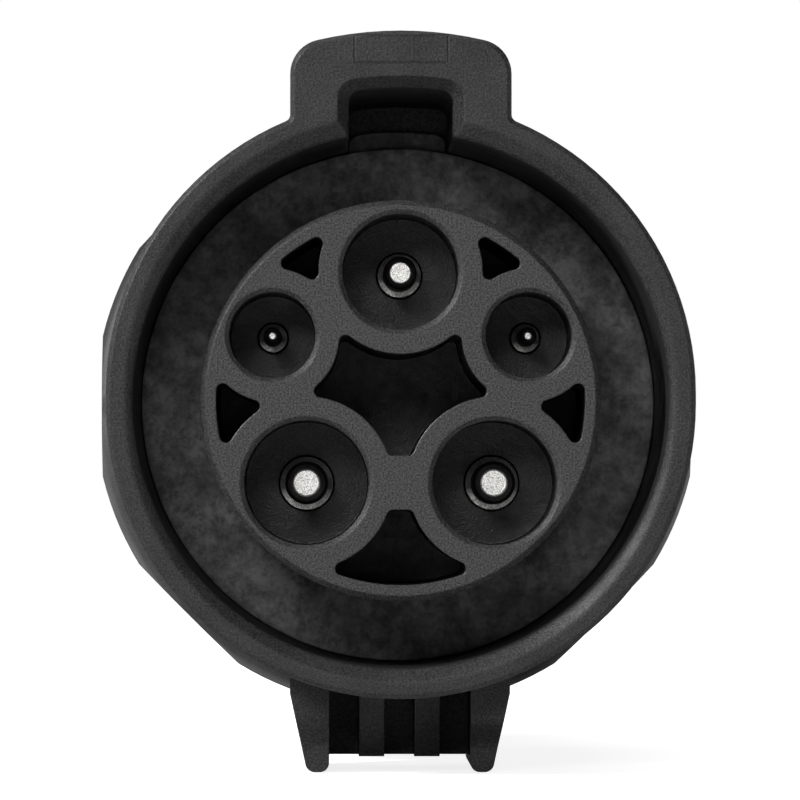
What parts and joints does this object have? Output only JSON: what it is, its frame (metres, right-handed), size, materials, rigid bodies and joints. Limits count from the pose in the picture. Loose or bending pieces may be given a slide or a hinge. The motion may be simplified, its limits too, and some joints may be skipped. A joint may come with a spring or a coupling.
{
  "type": "ev charging adapter",
  "caption": "Hand-sized charging adapter: a round five-pin inlet with a key tab and a latch catch in front, an eight-sided grip, and a rounded five-socket plug behind.",
  "frame": {"origin": "on the inlet's axis, in the plane of the shroud's front edge", "axes": "+Y from the inlet towards the plug, +Z towards the key tab, +X to the right when looking into the inlet"},
  "size_m": [0.0518, 0.116, 0.0619],
  "materials": {
    "shroud_plastic": "fine spark texture",
    "insert_plastic": "fine spark texture",
    "grip_plastic": "fine spark texture",
    "nose_plastic": "fine spark texture",
    "plate_plastic": "moulded",
    "contact_plating": "turned copper alloy, silver plated",
    "spring_steel": "stainless strip",
    "screw_steel": "zinc plated",
    "seal_rubber": "moulded",
    "black_sheath": "extruded",
    "red_sheath": "extruded",
    "green_sheath": "extruded",
    "blue_sheath": "extruded",
    "white_sheath": "extruded"
  },
  "bodies": {
    "root": {"body_seal": "seal_rubber", "bulkhead_screws": "screw_steel", "contact_insert": "insert_plastic", "earth_pin": "contact_plating", "earth_pin_seal": "seal_rubber", "earth_socket": "contact_plating", "earth_socket_spring": "spring_steel", "earth_wire": "green_sheath", "grip_body": "grip_plastic", "inlet_shroud": "shroud_plastic", "line_pin": "contact_plating", "line_pin_seal": "seal_rubber", "line_socket": "contact_plating", "line_socket_spring": "spring_steel", "line_wire": "black_sheath", "neutral_pin": "contact_plating", "neutral_pin_seal": "seal_rubber", "neutral_socket": "contact_plating", "neutral_socket_spring": "spring_steel", "neutral_wire": "red_sheath", "nose_gasket": "seal_rubber", "nose_screws": "screw_steel", "pilot_pin": "contact_plating", "pilot_pin_seal": "seal_rubber", "pilot_socket": "contact_plating", "pilot_socket_spring": "spring_steel", "pilot_wire": "blue_sheath", "pin_retainer": "plate_plastic", "pin_retainer_screws": "screw_steel", "plug_nose": "nose_plastic", "proximity_pin": "contact_plating", "proximity_pin_seal": "seal_rubber", "proximity_socket": "contact_plating", "proximity_socket_spring": "spring_steel", "proximity_wire": "white_sheath", "socket_retainer": "plate_plastic", "socket_retainer_screws": "screw_steel"}
  },
  "joints": []
}
